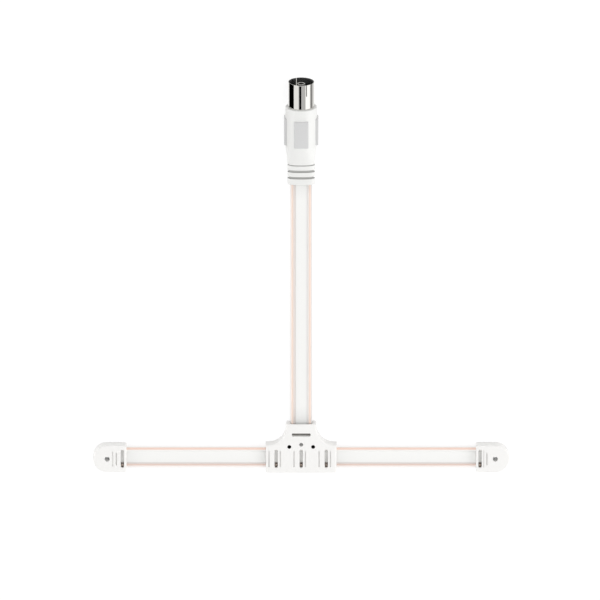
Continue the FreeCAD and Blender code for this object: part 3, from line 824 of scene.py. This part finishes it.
def grip_stations():
    """(y, radius, cut) from the collar to the rear end. cut is how deep a rib groove is there."""
    stations = [(COLLAR_Y, SHELL_RADIUS, 0)]
    stations += [(COLLAR_Y - depth, BODY_RADIUS - drop, 0)
                 for drop, depth in quarter_turn(COLLAR_ROUND)]
    stations += [(BODY_REAR_Y + 0.5, BODY_RADIUS, 0)]
    for step in range(1, 9):
        share = step / 8
        eased = share * share * (3 - 2 * share)
        y = BODY_REAR_Y + 0.5 - share * (TAPER_LENGTH + 0.5)
        stations.append((y, BODY_RADIUS + (RELIEF_RADIUS - BODY_RADIUS) * (share + eased) / 2, 0))
    for place, half_width, depth in RIB_GROOVES:
        middle = TAPER_REAR_Y - place
        wall = [(half_width + RIB_LIP, 0), (half_width + RIB_LIP / 4, RIB_LIP / 4),
                (half_width, RIB_LIP), (half_width - RIB_LIP / 2, depth)]
        stations += [(middle + offset, RELIEF_RADIUS, cut) for offset, cut in wall]
        stations += [(middle - offset, RELIEF_RADIUS, cut) for offset, cut in wall[::-1]]
    stations += [(GRIP_REAR_Y + depth, RELIEF_RADIUS, drop) for depth, drop in quarter_turn(END_ROUND)]
    return stations


def roundness(y):
    """1 on the round body, falling evenly to 0 where the strain relief is flat."""
    return min(1.0, max(0.0, (y - FLAT_END_Y) / (FLAT_START_Y - FLAT_END_Y)))


def half_thickness(y):
    """Half of the grip's thickness, before any rounding or groove."""
    return REAR_HALF_THICKNESS + roundness(y) * (BODY_RADIUS - REAR_HALF_THICKNESS)


def blunted(length, y):
    """Moves a coordinate of the unit ring outwards, so that a flat oval gets full shoulders."""
    power = 1 / (1 + BLUNTNESS * (1 - roundness(y)))
    return math.copysign(abs(length / MM) ** power, length) * MM


# %% [markdown]
# The four finger pads are bevelled blocks on the body, a little matt where the fingers press.

# %% Grip
PAD_WIDTH = 5.9
PAD_LENGTH = 11.4
PAD_SETBACK = 1.0
PAD_DISTANCE = grip_high.z - PLUG_Z
PAD_ROUND = 0.35

grip_bm = bmesh.new()
turn_to_plug = Matrix.Rotation(math.pi / 2, 4, "X")
bmesh.ops.create_circle(
    grip_bm, cap_ends=False, segments=GRIP_STEPS, radius=1 * MM,
    matrix=Matrix.Translation(Vector((0, 0, PLUG_Z)) * MM) @ turn_to_plug)
ring = grip_bm.edges[:]
ring_verts = grip_bm.verts[:]
made_rings = [ring_verts]
stations = grip_stations()
for before, after in zip(stations, stations[1:]):
    made = bmesh.ops.extrude_edge_only(grip_bm, edges=ring)["geom"]
    ring = [item for item in made if isinstance(item, bmesh.types.BMEdge)]
    made_rings.append([item for item in made if isinstance(item, bmesh.types.BMVert)])
    # Faces in a groove get the grey of painted shade.
    in_groove = RELIEF_RADIUS == after[1] and min(before[2], after[2]) >= RIB_LIP and after[0] > RIB_END_Y
    for face in made:
        if isinstance(face, bmesh.types.BMFace):
            face.material_index = 2 if in_groove else 0
plug_axis = Matrix.Translation(Vector((0, 0, -PLUG_Z)) * MM)
for (y, radius, cut), verts in zip(stations, made_rings):
    thickness = min(radius, half_thickness(y))
    for vert in verts:
        vert.co.x = blunted(vert.co.x, y)
        vert.co.z = PLUG_Z * MM + blunted(vert.co.z - PLUG_Z * MM, y)
    bmesh.ops.scale(grip_bm, vec=(radius - cut, 1, thickness - cut), space=plug_axis, verts=verts)
    bmesh.ops.translate(grip_bm, vec=(0, y * MM, 0), verts=verts)
bmesh.ops.contextual_create(grip_bm, geom=ring)
bmesh.ops.contextual_create(grip_bm, geom=[
    edge for edge in grip_bm.edges if all(vert in made_rings[0] for vert in edge.verts)])
bmesh.ops.recalc_face_normals(grip_bm, faces=grip_bm.faces)

for quarter in range(4):
    pad_y = BODY_REAR_Y + PAD_SETBACK
    verts = add_block(grip_bm, (-PAD_WIDTH / 2, pad_y, PLUG_Z + 2),
                      (PAD_WIDTH / 2, pad_y + PAD_LENGTH, PLUG_Z + PAD_DISTANCE))
    edges = {edge for vert in verts for edge in vert.link_edges}
    top = [edge for edge in edges
           if any(abs(v.co.z - (PLUG_Z + PAD_DISTANCE) * MM) < 1e-7 for v in edge.verts)]
    bevelled = bmesh.ops.bevel(
        grip_bm, geom=top, offset=PAD_ROUND * MM, offset_type="OFFSET", affect="EDGES",
        segments=3, profile=0.5, material=-1)
    island = {vert for face in bevelled["faces"] for vert in face.verts} | {v for v in verts if v.is_valid}
    pad_faces = {face for vert in island for face in vert.link_faces}
    for face in pad_faces:
        face.material_index = 1
    bmesh.ops.rotate(
        grip_bm, cent=Vector((0, 0, PLUG_Z)) * MM,
        matrix=Matrix.Rotation(math.pi / 2 * quarter, 3, "Y"),
        verts=list({vert for face in pad_faces for vert in face.verts}))
grip = finished(
    "plug_grip_moulding", grip_bm, [grip_pvc, pad_pvc, groove_shade_pvc], ["plug_grip"])
shade(grip)
print("grip has", len(grip.data.polygons), "faces")

# %% [markdown]
# ## Socket
# The socket's shell is a thin turned tube: a flat ring profile spun right round, with a rounded rim.
# Two slits let it spring. Its bore is painted grey and the lead-in of its rim black, as painted
# shade, and the contact is a smaller tube inside, painted darker with a black bore as shade.

# %% Socket
RIM_Y = shell_high.y
SHELL_WALL = 0.5
RIM_ROUND = 0.03
RIM_BAND = 0.4
RIM_RADIUS = SHELL_RADIUS - 0.1
CONTACT_ROUND = 0.18
UPPER_SLIT_WIDTH = 0.35
LOWER_SLIT_WIDTH = 0.2
SLIT_LENGTH = 4.8
SLIT_TURN = math.radians(24)
TURNED_STEPS = 128
CONTACT_BORE = 1.2
CONTACT_BORE_DEPTH = 7.6


def turned(outline):
    """Spins a closed outline of (radius, y) points round the plug's axis."""
    bm = bmesh.new()
    verts = chain(bm, [(radius, y, PLUG_Z) for radius, y in outline])
    bm.edges.new((verts[-1], verts[0]))
    bmesh.ops.spin(
        bm, geom=bm.verts[:] + bm.edges[:], cent=Vector((0, 0, PLUG_Z)) * MM, axis=(0, 1, 0),
        angle=2 * math.pi, steps=TURNED_STEPS, use_merge=True)
    bmesh.ops.remove_doubles(bm, verts=bm.verts, dist=1e-6)
    bmesh.ops.recalc_face_normals(bm, faces=bm.faces)
    return bm


def round_rim(bm, y, amount):
    """Rounds the circular edges at one place along the plug."""
    rim = [edge for edge in bm.edges if all(abs(v.co.y - y * MM) < 1e-7 for v in edge.verts)
           and abs((edge.verts[0].co - Vector((0, y, PLUG_Z)) * MM).length
                   - (edge.verts[1].co - Vector((0, y, PLUG_Z)) * MM).length) < 1e-7]
    round_edges(bm, rim, amount, 3)


def line_bore(bm, radius, material_index):
    """Gives the faces nearer to the axis than a radius another material."""
    for face in bm.faces:
        middle = face.calc_center_median() - Vector((0, 0, PLUG_Z)) * MM
        if math.hypot(middle.x, middle.z) < radius * MM:
            face.material_index = material_index


shell_bm = turned([
    (SHELL_RADIUS, shell_low.y), (SHELL_RADIUS, RIM_Y - RIM_BAND), (SHELL_RADIUS, RIM_Y),
    (RIM_RADIUS, RIM_Y), (SHELL_RADIUS - SHELL_WALL, RIM_Y - RIM_BAND),
    (SHELL_RADIUS - SHELL_WALL, shell_low.y)])
round_rim(shell_bm, RIM_Y, RIM_ROUND)
# The lead-in of the rim is painted black and the bore grey, as painted shade.
line_bore(shell_bm, RIM_RADIUS - RIM_ROUND, 2)
line_bore(shell_bm, SHELL_RADIUS - SHELL_WALL + 0.02, 1)
shell = finished(
    "socket_tube", shell_bm, [nickel_plate, shaded_nickel, black_insulation_and_rim_shade],
    ["socket_shell"])
slit_bm = bmesh.new()
for width, side in ((UPPER_SLIT_WIDTH, 1), (LOWER_SLIT_WIDTH, -1)):
    low_z, high_z = sorted((PLUG_Z + side, PLUG_Z + side * 2 * SHELL_RADIUS))
    add_block(slit_bm, (-width / 2, RIM_Y - SLIT_LENGTH, low_z), (width / 2, RIM_Y + 1, high_z))
bmesh.ops.rotate(slit_bm, cent=Vector((0, 0, PLUG_Z)) * MM,
                 matrix=Matrix.Rotation(SLIT_TURN, 3, "Y"), verts=slit_bm.verts)
carve(shell, slit_bm)
shade(shell)

contact_radius = (contact_high.x - contact_low.x) / 2
contact_bm = turned([
    (contact_radius, insulator_high.y), (contact_radius, contact_high.y),
    (CONTACT_BORE, contact_high.y), (CONTACT_BORE, contact_high.y - CONTACT_BORE_DEPTH),
    (CONTACT_BORE / 4, contact_high.y - CONTACT_BORE_DEPTH), (CONTACT_BORE / 4, insulator_high.y)])
round_rim(contact_bm, contact_high.y, CONTACT_ROUND)
# The contact's bore is painted black as shade.
line_bore(contact_bm, CONTACT_BORE + 0.01, 1)
contact = finished(
    "centre_contact_tube", contact_bm, [shaded_contact_nickel, contact_bore_shade],
    ["centre_contact"])
shade(contact)
print("socket tube has", len(shell.data.polygons), "faces")

# %% [markdown]

# %% [markdown]
# ## Studio
# The floor is plain white paper. The camera and mirror-like surfaces see it partly as a glowing sheet,
# which lifts it to pure white and leaves only a faint soft shadow under the antenna.

# %% Floor
FLOOR_SIZE = 6.0
FLOOR_Z = -0.02 * MM
FLOOR_CORNERS = [(-1, -1), (1, -1), (1, 1), (-1, 1)]
FLOOR_SHADED = "#8c8c8c"
FLOOR_GLOW = 0.78


def add_sheet(name, corners, material):
    """A flat four-cornered sheet for the studio."""
    bm = bmesh.new()
    bm.faces.new([bm.verts.new(corner) for corner in corners])
    mesh = bpy.data.meshes.new(name)
    bm.to_mesh(mesh)
    bm.free()
    mesh.materials.append(material)
    sheet = bpy.data.objects.new(name, mesh)
    scene.collection.objects.link(sheet)
    return sheet


def floor_paper():
    """White paper that bounces light, and that the camera sees partly as a glowing sheet."""
    material, paper = new_material("floor_paper", Base_Color=linear("#eaeaea"), Roughness=0.9)
    paper.inputs["Specular IOR Level"].default_value = 0.0
    links = material.node_tree.links
    light_path = add_node(material, "ShaderNodeLightPath")
    shaded = add_node(material, "ShaderNodeBsdfDiffuse", {"Color": linear(FLOOR_SHADED)})
    glow = add_node(material, "ShaderNodeEmission", {"Strength": FLOOR_GLOW})
    both = add_node(material, "ShaderNodeAddShader", {0: shaded.outputs[0], 1: glow.outputs[0]})
    mirrored_ray = add_node(material, "ShaderNodeMath", {
        0: light_path.outputs["Is Glossy Ray"], 1: light_path.outputs["Is Transmission Ray"]},
        operation="MAXIMUM")
    seen = add_node(material, "ShaderNodeMath", {
        0: light_path.outputs["Is Camera Ray"], 1: mirrored_ray.outputs[0]}, operation="MAXIMUM")
    choice = add_node(material, "ShaderNodeMixShader", {
        0: seen.outputs[0], 1: paper.outputs[0], 2: both.outputs[0]})
    links.new(choice.outputs[0], material.node_tree.nodes["Material Output"].inputs["Surface"])
    return material


floor_white = floor_paper()
edge = FLOOR_SIZE / 2
add_sheet("floor", [Vector((x * edge, y * edge, FLOOR_Z)) for x, y in FLOOR_CORNERS], floor_white)

# %% [markdown]
# The studio is a white room. The main soft box stands beyond the plug, so it fills the upper sides of
# the mouldings and leaves the upper ends of the windows dark. Two more stand on the right and on the
# left, and the right one is the brighter. Two low ones, close to the table, fill the flanks of the
# grip, and the right one stands well forward so that it leaves the curve of the neck in shade.

# %% Light
WORLD_LIGHT = 0.65
LAMP_SIZE = 1.8
LAMP_DISTANCE = 3.0

world = bpy.data.worlds.new("studio")
scene.world = world
world.use_nodes = True
world.node_tree.nodes["Background"].inputs["Color"].default_value = (1, 1, 1, 1)
world.node_tree.nodes["Background"].inputs["Strength"].default_value = WORLD_LIGHT


def soft_box(name, direction, brightness):
    """A square area lamp, aimed at the feeder. Mirrors see the cards instead of it."""
    aim = Vector((0, 0.08, 0))
    lamp = bpy.data.lights.new(name, "AREA")
    lamp.shape = "SQUARE"
    lamp.size = LAMP_SIZE
    lamp.energy = brightness * math.pi * LAMP_SIZE ** 2
    holder = bpy.data.objects.new(name, lamp)
    scene.collection.objects.link(holder)
    holder.location = aim + Vector(direction).normalized() * LAMP_DISTANCE
    holder.rotation_euler = (-Vector(direction)).to_track_quat("-Z", "Y").to_euler()
    holder.visible_camera = False
    holder.visible_glossy = False


soft_box("main_box", (0.1, 0.36, 0.92), 1.7)
soft_box("right_box", (0.9, 0.1, 0.5), 2.95)
soft_box("left_box", (-0.9, 0.1, 0.5), 1.7)
soft_box("right_low_box", (1, -1.2, 0.1), 3.6)
soft_box("left_low_box", (-1, -0.2, 0.08), 2.5)

# %% [markdown]
# A nickel tube shows what stands round it, so a photographer hangs white, grey and black cards where
# the tube should look light or dark. They are seen by reflections only. A long card stands between
# two angles from the vertical, measured round the line of the plug.


# %% Cards
def card(name, corners, colour, brightness):
    """A card that only reflections see."""
    material, shader = new_material(name, Base_Color=(0, 0, 0, 1), Roughness=1.0)
    shader.inputs["Specular IOR Level"].default_value = 0.0
    shader.inputs["Emission Color"].default_value = linear(colour)
    shader.inputs["Emission Strength"].default_value = brightness
    sheet = add_sheet(name, corners, material)
    sheet.visible_camera = False
    sheet.visible_diffuse = False
    sheet.visible_shadow = False
    sheet.visible_transmission = False
    sheet.visible_volume_scatter = False


def long_card(name, low_tip, high_tip, distance, low_y, high_y, colour, brightness):
    """A card along the plug's line, with its long edges at two angles from the vertical."""
    edges = [Vector((math.sin(math.radians(tip)), 0, math.cos(math.radians(tip)))) * distance
             for tip in (low_tip, high_tip)]
    low = Vector((0, low_y, 0))
    high = Vector((0, high_y, 0))
    card(name, [edges[0] + low, edges[1] + low, edges[1] + high, edges[0] + high],
         colour, brightness)


def side_card(name, x, low_z, high_z, colour, brightness):
    """An upright card close beside the socket."""
    low_y = COLLAR_Y - 20
    high_y = RIM_Y + 2
    card(name, [Vector(corner) * MM for corner in (
        (x, low_y, low_z), (x, high_y, low_z), (x, high_y, high_z), (x, low_y, high_z))],
        colour, brightness)


long_card("light_left", -82, -24, 0.9, -1, 1, "#ffffff", 1.0)
long_card("black_strip", -18, 6, 0.7, -0.3, 0, "#000000", 1.0)
long_card("grey_ceiling", -24, 38, 0.8, -1, 1, "#c8c8c8", 1.0)
long_card("white_right", 38, 84, 0.9, -1, 1, "#ffffff", 1.35)
side_card("black_flag", -12, 2.0, 14.8, "#000000", 1.0)
side_card("grey_flag", 12, 1.5, 7.8, "#d0d0d0", 1.0)
side_card("dark_flag", 12, 7.8, 10.4, "#686868", 1.0)
